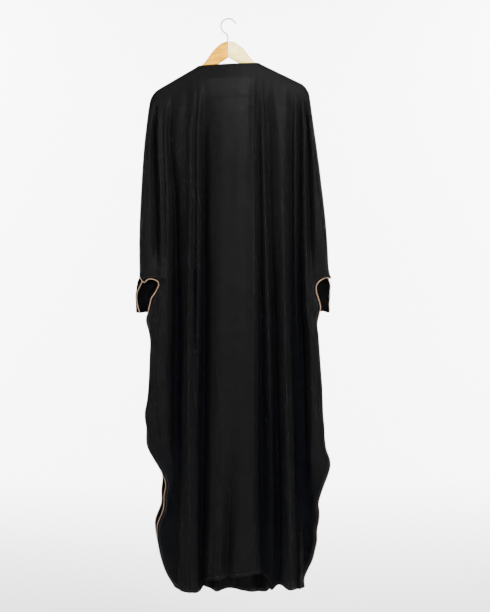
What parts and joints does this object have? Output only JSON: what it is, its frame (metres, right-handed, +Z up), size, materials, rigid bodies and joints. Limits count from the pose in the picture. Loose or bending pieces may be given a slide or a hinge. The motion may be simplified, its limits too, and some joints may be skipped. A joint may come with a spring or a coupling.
{
  "type": "butterfly abaya on a wooden hanger",
  "caption": "Full-length open-neck abaya with wing sleeves, inner cuffs and piped side edges, hung in upright folds from a contoured wooden hanger with a wire hook.",
  "frame": {"origin": "underside of the top of the hook's bend, where the hanger is held", "axes": "+Z up along the hanging garment, +Y from the garment's back to its front, +X to the right as the back is seen"},
  "size_m": [0.5214, 0.1111, 1.5516],
  "materials": {
    "black_cloth": "fine slightly sheer weave with a soft lustre",
    "tan_piping": "twisted cord",
    "pale_wood": "satin varnish",
    "hook_wire": "bright wire"
  },
  "bodies": {
    "root": {"back": "black_cloth", "front_left": "black_cloth", "front_right": "black_cloth", "neck_facing": "black_cloth", "front_band_left": "black_cloth", "front_band_right": "black_cloth", "cuff_left": "black_cloth", "cuff_right": "black_cloth", "piping_back_left": "tan_piping", "piping_back_right": "tan_piping", "piping_front_left": "tan_piping", "piping_front_right": "tan_piping", "cuff_piping_left": "tan_piping", "cuff_piping_right": "tan_piping", "hanger_left": "pale_wood", "hanger_right": "pale_wood", "hanger_bar": "pale_wood", "hanger_hook": "hook_wire"}
  },
  "joints": []
}
